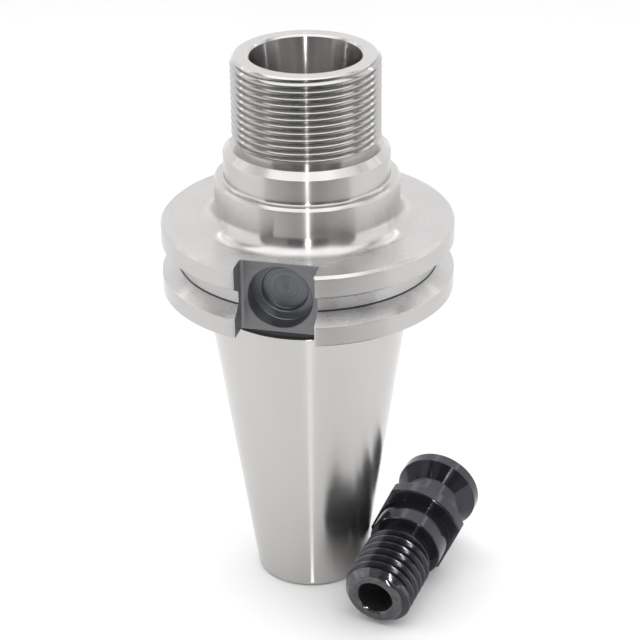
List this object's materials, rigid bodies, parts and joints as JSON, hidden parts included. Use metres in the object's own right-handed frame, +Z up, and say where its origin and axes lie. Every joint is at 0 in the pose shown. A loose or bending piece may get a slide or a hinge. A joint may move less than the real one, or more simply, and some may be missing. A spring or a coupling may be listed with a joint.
{
  "type": "cnc tool holder",
  "caption": "Steep-taper collet-chuck tool holder with a grooved flange, drive slots and a threaded nose, standing on its small end beside its unscrewed pull stud.",
  "frame": {"origin": "on the holder's axis, in the plane of its small end's face", "axes": "+Z up the holder's axis to its nose, -Y out of the drive slot that has the round pocket, +X towards the pull stud"},
  "size_m": [0.0685, 0.061, 0.1242],
  "materials": {
    "ground_steel": "ground and turned, satin",
    "black_oxide_steel": "black oxide, semi-gloss"
  },
  "bodies": {
    "root": {"holder_body": "ground_steel", "pull_stud": "black_oxide_steel"}
  },
  "joints": []
}
